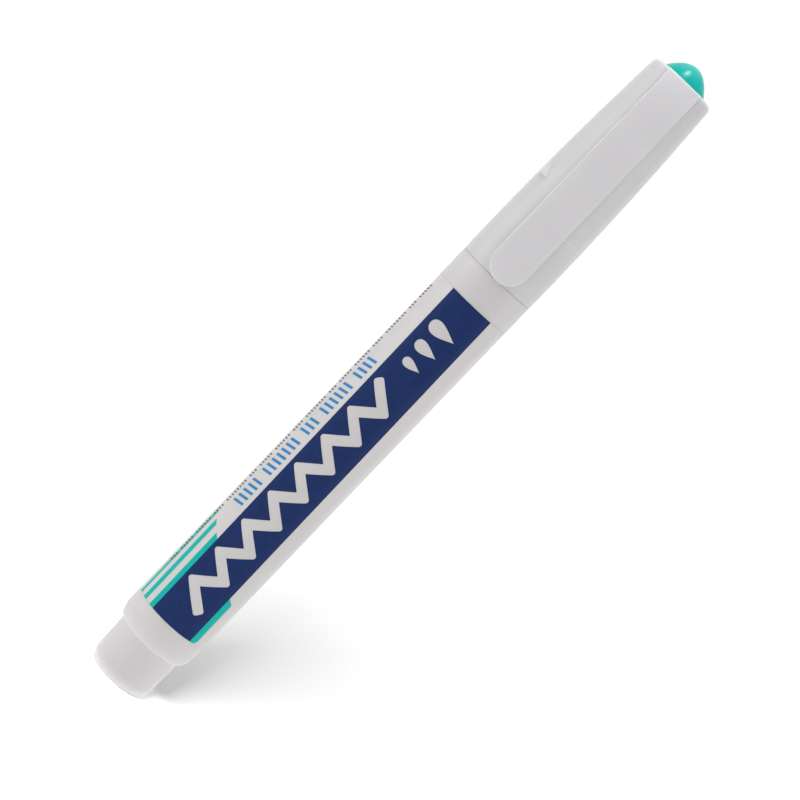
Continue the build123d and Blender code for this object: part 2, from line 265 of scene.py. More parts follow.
# Label film
# A thin polypropylene film, wrapped once round the barrel and lying in its recess. Its two ends
# meet in a fine seam at the back.
film_radius = 7.252
film_thickness = 0.04
film_end_room = 0.03          # to the recess, above and below
film_bottom = label_bottom + film_end_room
film_top = label_top - film_end_room
film_seam = 0.15
film_half = math.pi * film_radius - film_seam / 2
label_skew = 0.67             # sideways drift of the print from top to bottom
strip_angle = 2.5             # degrees between the cuts that let a flat sheet bend


def bar(left, right, bottom, top):
    """Outline of an upright bar."""
    return [(left, bottom), (right, bottom), (right, top), (left, top)]


def flat_sheet(name, outlines):
    """A flat mesh inside closed outlines of (arc, height) points; an outline in another is a hole."""
    curve = bpy.data.curves.new(name, "CURVE")
    curve.dimensions = "2D"
    curve.fill_mode = "BOTH"
    for outline in outlines:
        spline = curve.splines.new("POLY")
        spline.points.add(len(outline) - 1)
        spline.use_cyclic_u = True
        for point, (arc, height) in zip(spline.points, outline):
            drift = label_skew * (label_top - height) / (label_top - label_bottom)
            point.co = ((arc + drift) * MM, height * MM, 0, 1)
    sheet = bpy.data.objects.new(name, curve)
    bpy.context.collection.objects.link(sheet)
    chosen(sheet)
    bpy.ops.object.convert(target="MESH")
    return bpy.context.object


def wrapped(sheet, radius, thickness):
    """Cuts a flat sheet into narrow strips, bends it round the barrel and gives it its thickness."""
    strip = math.radians(strip_angle) * radius * MM
    reach = max(abs(vertex.co.x) for vertex in sheet.data.vertices)
    bpy.ops.object.mode_set(mode="EDIT")
    bpy.ops.mesh.select_all(action="SELECT")
    bpy.ops.mesh.remove_doubles(threshold=WELD)
    for cut in range(-int(reach / strip), int(reach / strip) + 1):
        bpy.ops.mesh.select_all(action="SELECT")
        bpy.ops.mesh.bisect(plane_co=(cut * strip, 0, 0), plane_no=(1, 0, 0))
    bpy.ops.object.mode_set(mode="OBJECT")
    for vertex in sheet.data.vertices:
        turn = vertex.co.x / (radius * MM)
        vertex.co = (radius * MM * math.sin(turn), -radius * MM * math.cos(turn), vertex.co.y)
    solid = sheet.modifiers.new("thickness", "SOLIDIFY")
    solid.thickness = thickness * MM
    solid.offset = 1
    bpy.ops.object.modifier_apply(modifier=solid.name)
    smoothed(sheet, angle=40)


label_film = flat_sheet("label_film", [bar(-film_half, film_half, film_bottom, film_top)])
wrapped(label_film, film_radius, film_thickness)
# Rolled film is smoother than the barrel's skin, with a soft even gloss
polypropylene_film = moulded(
    "polypropylene_film", "#D8D5D4", "#D5D2D1",
    gloss=0.36, cloud_mm=7.0, grain_mm=0.5, grain_depth=0.004,
)
label_film.data.materials.append(polypropylene_film)
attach(label_film, "pen")
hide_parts("label")

# Panel print
# A panel of dark blue ink on the film. The plain marks in it, a zigzag stroke and three drops, are
# left unprinted, so that the white film shows through.
ink_lift = 0.008
ink_radius = film_radius + film_thickness + ink_lift
ink_thickness = 0.018
panel_half = 4.43
stroke_width = 1.8
stroke_reach = 1.95           # from the stroke's middle line to its turning points
stroke_pitch = 6.4
stroke_turns = 15
outer_bend = 0.5              # rounding outside and inside the stroke's turns
inner_bend = 0.12
stroke_start = label_top - 19.6
stroke_shift = -0.5
drop_places = (6.6, 10.5, 13.9)   # below the label's top
drop_lengths = (5.4, 4.5, 3.6)
drop_slimness = 0.68
drop_taper = 1.6              # the higher, the longer the drop's point
drop_steps = 64


def zigzag():
    """Outline of the stroke: down one side, round its end and up the other."""
    half_width = stroke_width / 2
    half_pitch = stroke_pitch / 2
    limb = Vector((2 * stroke_reach, half_pitch))
    mitre = half_width * limb.length / half_pitch
    ends = []
    sides = ([], [])
    for turn in range(stroke_turns + 1):
        way = 1 if turn % 2 else -1
        height = stroke_start - half_pitch * turn
        middle = Vector((stroke_shift + way * stroke_reach, height))
        if turn in (0, stroke_turns):
            rise = half_pitch if turn == 0 else -half_pitch
            along = Vector((way * 2 * stroke_reach, rise)).normalized()
            across = Vector((-along.y, along.x)) * half_width
            tip = middle + along * half_width
            ends.append([(*corner, outer_bend) for corner in (tip - across, tip + across)])
            continue
        for side, edge in zip((-1, 1), sides):
            edge.append((middle.x + side * mitre, height, outer_bend if side == way else inner_bend))
    left, right = sides
    return rounded(ends[0] + left + ends[1] + right[::-1], arc_steps=10)


def drop(height, length):
    """Outline of a drop that points to the right."""
    points = []
    for step in range(drop_steps):
        angle = 2 * math.pi * step / drop_steps
        swell = math.sin(angle / 2) ** drop_taper
        points.append((
            stroke_shift + length / 2 * math.cos(angle),
            height + drop_slimness * length / 2 * math.sin(angle) * swell,
        ))
    return points


def ink(name, colour, deep):
    """Printing ink with a soft gloss, a little deeper where the film took more of it."""
    mottle_mm = 1.2
    material, tree, shader, place = surfaced(name)
    mottle = node(tree, "TexNoise", {"Vector": place, "Scale": 1 / (mottle_mm * MM), "Detail": 4.0})
    depth = node(tree, "ValToRGB", {"Fac": mottle.outputs["Fac"]})
    for stop, position, code in zip(depth.color_ramp.elements, (0.3, 0.7), (deep, colour)):
        stop.position = position
        stop.color = linear(code)
    tree.links.new(depth.outputs["Color"], shader.inputs["Base Color"])
    shader.inputs["Roughness"].default_value = 0.4
    shader.inputs["Specular IOR Level"].default_value = 0.15
    return material


panel_ink = flat_sheet("panel_ink", [
    bar(-panel_half, panel_half, film_bottom, film_top),
    zigzag(),
    *[drop(label_top - place, length) for place, length in zip(drop_places, drop_lengths)],
])
wrapped(panel_ink, ink_radius, ink_thickness)
panel_ink.data.materials.append(ink("navy_ink", "#132E66", "#0F295B"))
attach(panel_ink, "pen")

# Stripe print
# Stripes of green ink on the film, beside the panel at the tail end of the label. Their tops are cut
# off at a slant.
stripe_pitch = 2.26
stripe_width = 1.0
stripe_count = 3
stripe_top = label_bottom + 15.8     # at the panel's edge
stripe_slant = 0.62           # rise of their tops for each step away from the panel
right_stripe_width = 1.46
right_stripe_top = label_bottom + 9.9
right_corner = 0.55

stripes = []
for index in range(stripe_count):
    right = -panel_half - index * stripe_pitch
    left = right - stripe_width
    stripes.append([
        (left, film_bottom),
        (right, film_bottom),
        (right, stripe_top + stripe_slant * index * stripe_pitch),
        (left, stripe_top + stripe_slant * (index * stripe_pitch + stripe_width)),
    ])
right_edge = panel_half + right_stripe_width
stripes.append([
    (panel_half, film_bottom),
    (right_edge - right_corner, film_bottom),
    (right_edge, film_bottom + right_corner),
    (right_edge, right_stripe_top - stripe_slant * right_stripe_width),
    (panel_half, right_stripe_top),
])
stripe_ink = flat_sheet("stripe_ink", stripes)
wrapped(stripe_ink, ink_radius, ink_thickness)
stripe_ink.data.materials.append(ink("green_ink", "#00BDB4", "#00B5AC"))
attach(stripe_ink, "pen")

# Small print
# A row of strokes in light blue ink and a row of finer ones in grey ink, grouped like words, where a
# label has its notes.
blue_left = -8.0
blue_width = 2.6
blue_start = label_top - 18.0
blue_end = label_bottom + 18.5
blue_groups = (4, 6, 3, 7, 5, 3)
blue_pitch = 1.15
blue_thickness = 0.5
note_left = -10.1
note_width = 1.0
note_start = label_top - 2.6
note_end = label_bottom + 5.6
note_groups = (5, 3, 8, 4, 6)
note_pitch = 0.62
note_thickness = 0.26
stroke_lean = 0.22            # rise of a stroke for each step along it


def strokes(left, width, start, end, groups, pitch, thickness):
    """Outlines of slanted strokes in groups, with a wider space after each group."""
    lean = stroke_lean * width
    outlines = []
    height = start
    group = 0
    while height - groups[group] * pitch > end:
        for _ in range(groups[group]):
            outlines.append([
                (left, height - thickness),
                (left + width, height - thickness + lean),
                (left + width, height + lean),
                (left, height),
            ])
            height -= pitch
        height -= pitch
        group = (group + 1) % len(groups)
    return outlines


blue_ink = flat_sheet("blue_ink", strokes(
    blue_left, blue_width, blue_start, blue_end, blue_groups, blue_pitch, blue_thickness,
))
wrapped(blue_ink, ink_radius, ink_thickness)
blue_ink.data.materials.append(ink("light_blue_ink", "#3A8CC8", "#3284C0"))
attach(blue_ink, "pen")

note_ink = flat_sheet("note_ink", strokes(
    note_left, note_width, note_start, note_end, note_groups, note_pitch, note_thickness,
))
wrapped(note_ink, ink_radius + ink_thickness, ink_thickness)
note_ink.data.materials.append(ink("grey_ink", "#4A4C56", "#42444E"))
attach(note_ink, "pen")

# Mixing ball
# A steel ball that stirs the fluid when the pen is shaken. It is ground and polished, and it lies
# loose in the barrel.
WAVE_RATE = 20                # radians of a wave texture's bands for each unit of its scale


def metal(name, colour, roughness, ring_mm, ring_depth):
    """Turned or ground metal: fine rings round the axis, left by the tool."""
    material, tree, shader, place = surfaced(name)
    rings = node(
        tree, "TexWave",
        {
            "Vector": place, "Scale": 2 * math.pi / (WAVE_RATE * ring_mm * MM),
            "Distortion": 0.4, "Detail": 2.0,
        },
        bands_direction="Z",
    )
    bump = node(
        tree, "Bump",
        {"Height": rings.outputs["Fac"], "Strength": 0.3, "Distance": ring_depth * MM},
    )
    tree.links.new(bump.outputs["Normal"], shader.inputs["Normal"])
    tone = node(
        tree, "MapRange",
        {"Value": rings.outputs["Fac"], "To Min": roughness - 0.03, "To Max": roughness + 0.05},
    )
    tree.links.new(tone.outputs["Result"], shader.inputs["Roughness"])
    shader.inputs["Base Color"].default_value = linear(colour)
    shader.inputs["Metallic"].default_value = 1.0
    return material


def finished(name, material):
    """Gives a CAD node its finish."""
    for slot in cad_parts[name].material_slots:
        slot.material = material


# Polished steel shines like a mirror
finished(
    "mixing_ball",
    metal("polished_steel", "#C9CACC", roughness=0.12, ring_mm=0.4, ring_depth=0.001),
)

# Nose
# A glossy white cone, injection moulded in polypropylene. It plugs the neck and holds the metal tip.
# Two grooves round the plug make it tight.
flange_radius = 6.05
flange_root = 0.06
flange_top = neck_top + 1.2
flange_edge = 0.25
nose_radius = 5.0
nose_root = 0.15
nose_cone_base = flange_top + 6.8
nose_shoulder = 0.9
nose_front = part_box("nose")[1].z / MM
nose_front_radius = 2.075
nose_front_edge = 0.12
tip_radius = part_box("tip")[1].x / MM
tip_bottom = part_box("tip")[0].z / MM
socket_edge = 0.04
plug_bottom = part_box("nose")[0].z / MM
plug_bore = 3.95
plug_lead = 0.4
feed_radius = 1.0
groove_depth = 0.15
groove_half = 0.3
groove_heights = (neck_top - 3.2, neck_top - 1.6)

plug_side = []
for height in groove_heights:
    plug_side += [
        (neck_bore, height - groove_half, 0),
        (neck_bore - groove_depth, height - groove_half, 0),
        (neck_bore - groove_depth, height + groove_half, 0),
        (neck_bore, height + groove_half, 0),
    ]
nose_cone = turned("nose_cone", rounded([
    (plug_bore, plug_bottom, 0),
    (neck_bore - plug_lead, plug_bottom, 0),
    (neck_bore, plug_bottom + plug_lead, 0),
    *plug_side,
    (neck_bore, neck_top, 0),
    (flange_radius, neck_top, flange_root),
    (flange_radius, flange_top, flange_edge),
    (nose_radius, flange_top, nose_root),
    (nose_radius, nose_cone_base, nose_shoulder),
    (nose_front_radius, nose_front, nose_front_edge),
    (tip_radius, nose_front, socket_edge),
    (tip_radius, tip_bottom, 0),
    (feed_radius, tip_bottom, 0),
    (feed_radius, flange_top, 0),
    (plug_bore, neck_top, 0),
], arc_steps=8))
smoothed(nose_cone)
# Polypropylene from a mirror-polished mould: the glossiest white on the pen
glossy_polypropylene = moulded(
    "polypropylene_glossy", "#EDECEA", "#EAE9E7",
    gloss=0.16, cloud_mm=6.0, grain_mm=0.8, grain_depth=0.002, glow=0.05,
)
nose_cone.data.materials.append(glossy_polypropylene)
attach(nose_cone, "pen")
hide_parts("nose")

# Metal tip
# Turned from nickel silver bar and pressed into the nose: a plain shank, a cone, a fine groove and a
# rim that is rolled over the ball.
tip_base_edge = 0.1
tip_cylinder_top = nose_front + 3.1
tip_cylinder_edge = 0.25
tip_cone_top = tip_cylinder_top + 2.3
tip_cone_end = 1.025
tip_cone_edge = 0.04
tip_groove = 0.925
tip_groove_top = tip_cone_top + 0.22
tip_groove_root = 0.03
tip_groove_edge = 0.06
tip_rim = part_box("tip")[1].z / MM
rim_mouth = 0.494
rim_lip = 0.08
rim_outer_edge = 0.03
rim_inner_edge = 0.02
ball_cup = 0.52
ball_centre = (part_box("writing_ball")[0].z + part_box("writing_ball")[1].z) / 2 / MM
ball_seat = ball_centre - 0.75
pin_channel = 0.35
pin_channel_bottom = ball_seat - 1.6
chamber_radius = 1.2

metal_tip = turned("metal_tip", rounded([
    (chamber_radius, tip_bottom, 0),
    (tip_radius, tip_bottom, tip_base_edge),
    (tip_radius, tip_cylinder_top, tip_cylinder_edge),
    (tip_cone_end, tip_cone_top, tip_cone_edge),
    (tip_groove, tip_cone_top, tip_groove_root),
    (tip_groove, tip_groove_top, tip_groove_root),
    (tip_cone_end, tip_groove_top, tip_groove_edge),
    (rim_mouth + rim_lip, tip_rim, rim_outer_edge),
    (rim_mouth, tip_rim, rim_inner_edge),
    (ball_cup, ball_centre, 0),
    (ball_cup, ball_seat, 0),
    (pin_channel, ball_seat, 0),
    (pin_channel, pin_channel_bottom, 0),
    (chamber_radius, pin_channel_bottom - chamber_radius + pin_channel, 0),
], arc_steps=5), steps=96)
smoothed(metal_tip)
# The lathe leaves fine rings, drawn here about twice as coarse as they are so that they show
nickel_silver = metal("nickel_silver_turned", "#A9A7A3", roughness=0.24, ring_mm=0.08, ring_depth=0.004)
metal_tip.data.materials.append(nickel_silver)
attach(metal_tip, "pen")
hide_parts("tip")

# Ball and valve
# A ground carbide ball, a steel pin behind it, the wire spring that pushes them forward and the
# drilled stopper that holds the spring in the tip.
spring_wire = 0.2
spring_wire_sides = 12
spring_turns = 5
spring_turn_steps = 32
spring_low, spring_high = (corner.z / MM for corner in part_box("valve_spring"))
spring_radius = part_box("valve_spring")[1].x / MM - spring_wire / 2

wire_spring = started(
    "wire_spring", bpy.ops.mesh.primitive_circle_add,
    vertices=spring_wire_sides, radius=spring_wire / 2 * MM,
)
for vertex in wire_spring.data.vertices:
    height = vertex.co.y + (spring_low + spring_wire / 2) * MM
    vertex.co = (vertex.co.x + spring_radius * MM, 0, height)
coil = wire_spring.modifiers.new("coil", "SCREW")
coil.axis = "Z"
coil.angle = 2 * math.pi
coil.screw_offset = (spring_high - spring_low - spring_wire) / spring_turns * MM
coil.iterations = spring_turns
coil.steps = coil.render_steps = spring_turn_steps
bpy.ops.object.modifier_apply(modifier=coil.name)
bpy.ops.object.mode_set(mode="EDIT")
bpy.ops.mesh.select_all(action="SELECT")
bpy.ops.mesh.remove_doubles(threshold=WELD)
bpy.ops.mesh.select_all(action="DESELECT")
bpy.ops.mesh.select_non_manifold()
bpy.ops.mesh.edge_face_add()
faced_out()
smoothed(wire_spring, angle=40)
# Drawn wire is bright, with a soft sheen
wire_spring.data.materials.append(
    metal("spring_wire_drawn", "#B4B5B8", roughness=0.26, ring_mm=0.2, ring_depth=0.002)
)
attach(wire_spring, "pen")
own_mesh(wire_spring)
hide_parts("valve_spring")
# Carbide is a darker grey than steel, and ground smooth
finished(
    "writing_ball",
    metal("tungsten_carbide_ground", "#8F9094", roughness=0.14, ring_mm=0.3, ring_depth=0.001),
)
# The pin is cut from drawn rod, with a soft sheen like the spring's
finished(
    "valve_pin",
    metal("stainless_steel_drawn", "#BDBDBE", roughness=0.22, ring_mm=0.15, ring_depth=0.002),
)
# Polyacetal from a plain mould: an off-white satin
finished(
    "spring_seat",
    moulded(
        "polyacetal_stopper", "#E4E2DE", "#DFDDD9",
        gloss=0.3, cloud_mm=2.0, grain_mm=0.3, grain_depth=0.003,
    ),
)

# Liner and seal
# The liner is a soft polyethylene cup inside the cap that grips the nose. The pad of white rubber at
# its end closes the ball off.

# Polyethylene with no pigment is milky, and light goes into it
finished(
    "inner_cap",
    moulded(
        "polyethylene_natural", "#E9E8E3", "#E2E1DC",
        gloss=0.38, cloud_mm=5.0, grain_mm=0.4, grain_depth=0.005, glow=0.2,
    ),
)
# Silicone rubber is dull, with a fine dusty grain
finished(
    "tip_seal",
    moulded(
        "silicone_rubber", "#DAD8D4", "#D2D0CC",
        gloss=0.6, cloud_mm=1.5, grain_mm=0.15, grain_depth=0.008, glow=0.1,
    ),
)

# Cap
# A tapered shell, injection moulded in white polypropylene, with a seat for the clip along its front,
# a shallow hollow for the thumb on its left flank, and the fine line of a mould joint on its right.
cap_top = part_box("cap_body")[1].z / MM
cap_bore = 6.3
mouth_edge = 0.07
mouth_lead = 0.3
mouth_inner_edge = 0.06
taper_start = mouth + 5.3
taper_steps = 14
cap_taper = 1.2
cap_top_radius = barrel_radius - cap_taper
cap_top_fillet = 1.0
taper_rise = cap_top - taper_start
taper_arc = (taper_rise**2 + cap_taper**2) / (2 * cap_taper)
liner_bore = 5.75
liner_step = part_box("inner_cap")[0].z / MM - 0.3
liner_stop = nose_front + 1.15
upper_hollow = 4.35
upper_hollow_edge = 0.2
top_wall = 2.0
stem_radius = 3.2
stem_hole_edge = 0.08
clip_thickness = 1.3
clip_top_reach = 6.285
clip_slope = 0.0752
clip_seat = clip_thickness + 0.15
slot_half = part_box("clip")[1].x / MM + 0.03
slot_overrun = 1.0
catch_angle = 62.0            # degrees from the clip
catch_end = mouth + 17.5
scoop_reach = (1.5, 0.22, 0.7)    # half width, depth and height of the hollow, which ends at the catch
scoop_overlap = 0.01
seam_height = mouth + 12.3
seam_width = 0.18
seam_rise = 0.02
seam_end = 54.0               # degrees from the clip, on the right
seam_depth = 0.1              # how far in from the cap's surface counts as its skin
seam_near = 0.02


def cap_radius(height):
    """Outer radius of the cap at a height on its taper."""
    run = max(height - taper_start, 0)
    return barrel_radius - taper_arc + math.sqrt(taper_arc**2 - run**2)


def clip_face(height, inward):
    """Y of the clip's outer face at a height, moved in towards the axis."""
    return inward - clip_top_reach - (cap_top - height) * clip_slope


def picked(piece, kind, wanted):
    """Enters edit mode with only those vertices or edges selected that are wanted."""
    bpy.ops.object.mode_set(mode="EDIT")
    bpy.ops.mesh.select_mode(type=kind)
    bpy.ops.mesh.select_all(action="DESELECT")
    bpy.ops.object.mode_set(mode="OBJECT")
    for element in piece.data.vertices if kind == "VERT" else piece.data.edges:
        element.select = wanted(element)
    bpy.ops.object.mode_set(mode="EDIT")


def beside_seam(place):
    """Whether a place in the cap's mesh is on its outer skin, within the run of the mould joint."""
    turn = math.degrees(math.atan2(place.x, -place.y))
    outside = math.hypot(place.x, place.y) > (cap_radius(seam_height) - seam_depth) * MM
    return outside and 0 < turn < seam_end


def on_upper_edge(vertex):
    """Whether a vertex of the cap is on the upper edge of the mould joint."""
    rise = vertex.co.z / MM - seam_height - seam_width / 2
    return beside_seam(vertex.co) and abs(rise) < seam_near


def cut_by(piece, cutter, operation="DIFFERENCE"):
    """Cuts a piece with another, or joins them, and deletes the other."""
    chosen(piece)
    boolean = piece.modifiers.new("cut", "BOOLEAN")
    boolean.operation = operation
    boolean.object = cutter
    boolean.solver = "EXACT"
    bpy.ops.object.modifier_apply(modifier=boolean.name)
    bpy.data.objects.remove(cutter)


outward = Vector((-math.sin(math.radians(catch_angle)), -math.cos(math.radians(catch_angle)), 0))
sideways = Vector((-outward.y, outward.x, 0))


def on_flank(side, height, rise):
    """A point over the cap's surface, beside the middle line of the catch."""
    depth = math.sqrt((cap_radius(height) + rise)**2 - side**2)
    return (sideways * side + outward * depth + Vector((0, 0, height))) * MM


taper_heights = [taper_start + taper_rise * step / taper_steps for step in range(taper_steps)]
taper_heights += [seam_height - seam_width / 2, seam_height + seam_width / 2]
taper_heights.sort()
cap_shell = turned("cap_shell", rounded([
    (cap_bore + mouth_lead, mouth, mouth_inner_edge),
    (barrel_radius, mouth, mouth_edge),
    *[(cap_radius(height), height, 0) for height in taper_heights],
    (cap_top_radius, cap_top, cap_top_fillet),
    (stem_radius, cap_top, stem_hole_edge),
    (stem_radius, cap_top - top_wall, 0),
    (upper_hollow, cap_top - top_wall, upper_hollow_edge),
    (upper_hollow, liner_stop, 0),
    (liner_bore, liner_stop, 0),
    (liner_bore, liner_step, 0),
    (cap_bore, liner_step, 0),
    (cap_bore, mouth + mouth_lead, mouth_inner_edge),
], arc_steps=8), steps=180)
picked(cap_shell, "VERT", on_upper_edge)
bpy.ops.transform.shrink_fatten(value=seam_rise * MM)
bpy.ops.object.mode_set(mode="OBJECT")

slot_cutter = started("slot_cutter", bpy.ops.mesh.primitive_cube_add, size=2)
for vertex in slot_cutter.data.vertices:
    height = cap_top + slot_overrun if vertex.co.z > 0 else mouth - slot_overrun
    depth = clip_face(height, clip_seat) if vertex.co.y > 0 else -2 * barrel_radius
    vertex.co = (vertex.co.x * slot_half * MM, depth * MM, height * MM)

scoop = started("scoop", bpy.ops.mesh.primitive_uv_sphere_add, segments=32, ring_count=16, radius=1)
scoop_middle = on_flank(0, catch_end - scoop_overlap, 0)
for vertex in scoop.data.vertices:
    across, out, up = (share * reach * MM for share, reach in zip(vertex.co, scoop_reach))
    vertex.co = scoop_middle + sideways * across + outward * out + Vector((0, 0, min(up, 0)))
bpy.ops.object.mode_set(mode="EDIT")
bpy.ops.mesh.select_all(action="SELECT")
bpy.ops.mesh.remove_doubles(threshold=WELD)
bpy.ops.mesh.dissolve_degenerate(threshold=WELD)
faced_out()
cut_by(cap_shell, slot_cutter)
cut_by(cap_shell, scoop)
smoothed(cap_shell, angle=24)
# Injection-moulded polypropylene: satin, with a faint cloudiness from the flow of the melt
polypropylene = moulded(
    "polypropylene_moulded", "#D8D6D8", "#D4D2D4",
    gloss=0.36, cloud_mm=11.0, grain_mm=0.3, grain_depth=0.005, glow=0.3,
)
cap_shell.data.materials.append(polypropylene)
# The joint's line comes from a polished edge of the mould, smoother than the satin skin.
# Its lighter tint is a painted highlight, so that the line shows brighter than the skin around it.
polished_painted_highlight = moulded(
    "polypropylene_polished_painted_highlight", "#E7E5E6", "#E3E1E2",
    gloss=0.2, cloud_mm=2.0, grain_mm=0.5, grain_depth=0.001, glow=0.3,
)
cap_shell.data.materials.append(polished_painted_highlight)
# The faces along the joint's line get the lighter material, a painted highlight along the joint
for face in cap_shell.data.polygons:
    if beside_seam(face.center) and abs(face.center.z / MM - seam_height) < seam_width / 2:
        face.material_index = 1
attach(cap_shell, "cap")
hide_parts("cap_body")

# Thumb catch
# A small wedge on the cap's left flank that the thumb pushes against, moulded in one with the cap. Its
# face is polished like the joint's line, and its lighter tint is a painted highlight.
catch_length = 3.9
catch_half = 1.6
catch_cuts = 11
catch_rise = 0.17
catch_root = 0.3
catch_tip_rise = 0.02
catch_tip_inset = 0.2
catch_lean = 1.0              # run of the slope towards the clip for its rise

thumb_catch = started("thumb_catch", bpy.ops.mesh.primitive_cube_add, size=2)


def runs_across(edge):
    """Whether an edge of the cube runs across the catch."""
    first, last = (thumb_catch.data.vertices[index].co for index in edge.vertices)
    return abs(first.x - last.x) > 1


picked(thumb_catch, "EDGE", runs_across)
bpy.ops.mesh.subdivide(number_cuts=catch_cuts)
bpy.ops.mesh.select_mode(type="VERT")
bpy.ops.object.mode_set(mode="OBJECT")
for vertex in thumb_catch.data.vertices:
    across, out, up = ((share + 1) / 2 for share in vertex.co)
    rise = catch_rise * (1 - up) + catch_tip_rise * up if out else -catch_root
    front = catch_half + (catch_tip_inset - 2 * catch_half) * up - max(rise, 0) * catch_lean
    side = (1 - across) * -catch_half + across * front
    vertex.co = on_flank(side, catch_end + catch_length * up, rise)
bpy.ops.object.mode_set(mode="EDIT")
faced_out()
smoothed(thumb_catch, angle=24)
# The lighter polished material paints a highlight on the catch's face
thumb_catch.data.materials.append(polished_painted_highlight)
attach(thumb_catch, "cap")

# Clip
# A flat strip with a round end, moulded in one with the cap at its top edge and free below it, with a
# bead inside that grips cloth. Its face leans in a little towards its top.
clip_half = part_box("clip")[1].x / MM
clip_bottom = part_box("clip")[0].z / MM
clip_middle = (mouth + cap_top) / 2
clip_edge = 0.2
clip_bead_height = mouth + 4.2
clip_bead_radius = 0.5
clip_bead_half = clip_half - 0.6
clip_bend_start = cap_top - 8.5
clip_bend_steps = 10
clip_bend = 0.013             # how far the face leans in, for the square of the height above the start


def in_front(place):
    """Whether a place in the clip's mesh is in the outer half of its thickness."""
    return place.y < clip_face(place.z / MM, clip_thickness / 2) * MM


clip_strip = started("clip_strip", bpy.ops.mesh.primitive_plane_add, size=2)
for vertex in clip_strip.data.vertices:
    vertex.co = (vertex.co.x * clip_half * MM, 0, (cap_top if vertex.co.y > 0 else clip_bottom) * MM)
picked(clip_strip, "VERT", lambda vertex: vertex.co.z < clip_middle * MM)
bpy.ops.mesh.bevel(affect="VERTICES", offset=clip_half * MM, segments=24, clamp_overlap=True)
bpy.ops.mesh.select_all(action="SELECT")
bpy.ops.mesh.remove_doubles(threshold=WELD)
bpy.ops.mesh.extrude_region_move(TRANSFORM_OT_translate={"value": (0, clip_thickness * MM, 0)})
faced_out()
for vertex in clip_strip.data.vertices:
    vertex.co.y += clip_face(vertex.co.z / MM, 0) * MM
picked(
    clip_strip, "EDGE",
    lambda edge: all(in_front(clip_strip.data.vertices[index].co) for index in edge.vertices),
)
bpy.ops.mesh.bevel(offset=clip_edge * MM, segments=6, affect="EDGES")
bpy.ops.mesh.select_mode(type="VERT")
for step in range(clip_bend_steps):
    height = clip_bend_start + (cap_top - clip_bend_start) * step / clip_bend_steps
    bpy.ops.mesh.select_all(action="SELECT")
    bpy.ops.mesh.bisect(plane_co=(0, 0, height * MM), plane_no=(0, 0, 1))
bpy.ops.object.mode_set(mode="OBJECT")
for vertex in clip_strip.data.vertices:
    if in_front(vertex.co):
        vertex.co.y += clip_bend * max(vertex.co.z / MM - clip_bend_start, 0)**2 * MM
clip_bead = started(
    "clip_bead", bpy.ops.mesh.primitive_cylinder_add,
    vertices=32, radius=clip_bead_radius * MM, depth=2 * clip_bead_half * MM,
    rotation=(0, math.pi / 2, 0),
    location=(0, clip_face(clip_bead_height, clip_thickness) * MM, clip_bead_height * MM),
)
bpy.ops.object.transform_apply(location=True, rotation=True, scale=True)
cut_by(clip_strip, clip_bead, "UNION")
smoothed(clip_strip, angle=30)
clip_strip.data.materials.append(polypropylene)
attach(clip_strip, "clip")
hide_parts("clip")

# End plug
# A glossy green dome of polystyrene, injection moulded, with a hollow stem that is pressed into the
# cap's top.
dome_base = cap_top
dome_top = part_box("end_plug")[1].z / MM
dome_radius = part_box("end_plug")[1].x / MM
dome_steps = 20
stem_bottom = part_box("end_plug")[0].z / MM
stem_bore = 2.0
stem_edge = 0.1

dome_side = []
for step in range(1, dome_steps + 1):
    inward = 1 - step / dome_steps
    dome_side.append((dome_radius * inward, dome_base + (dome_top - dome_base) * (1 - inward**2), 0))
end_dome = turned("end_dome", rounded([
    (0, dome_base, 0),
    (stem_bore, dome_base - top_wall, 0),
    (stem_bore, stem_bottom, 0),
    (stem_radius, stem_bottom, stem_edge),
    (stem_radius, dome_base, 0),
    (dome_radius, dome_base, 0),
    *dome_side,
]))
smoothed(end_dome)
# Polystyrene from a polished mould: deep in colour, with a clear glint
polystyrene = moulded(
    "polystyrene_polished", "#00AFA7", "#00A69E",
    gloss=0.24, cloud_mm=3.0, grain_mm=0.9, grain_depth=0.002,
)
polystyrene.node_tree.nodes["Principled BSDF"].inputs["Specular IOR Level"].default_value = 0.13
end_dome.data.materials.append(polystyrene)
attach(end_dome, "cap")
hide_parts("end_plug")

# Studio floor
# A level sheet of pale paper, greyer away from the pen so that it throws less light back. It adds its
# own white for the camera and reflections, so that only the shadow on it shows. This white is painted
# light: weakest near the pen, stronger right under the tail, which pales the contact shadow there, and
# growing with distance, which fades the shadow out.
floor_size = 4                # metres
ramp_reach = 0.4              # metres from the pen's axis to the last stop of each ramp
# Strength of the painted white at each share of ramp_reach: high under the tail, low near the pen, high
# far off
painted_glow_stops = (
    (0.0, 0.6), (0.016, 0.45), (0.04, 0.17), (0.1, 0.24),
    (0.2, 0.4), (0.28, 0.52), (0.5, 0.68), (1.0, 0.9),
)
ground_stops = ((0.06, "#DFDFDF"), (0.28, "#BCBCBC"))

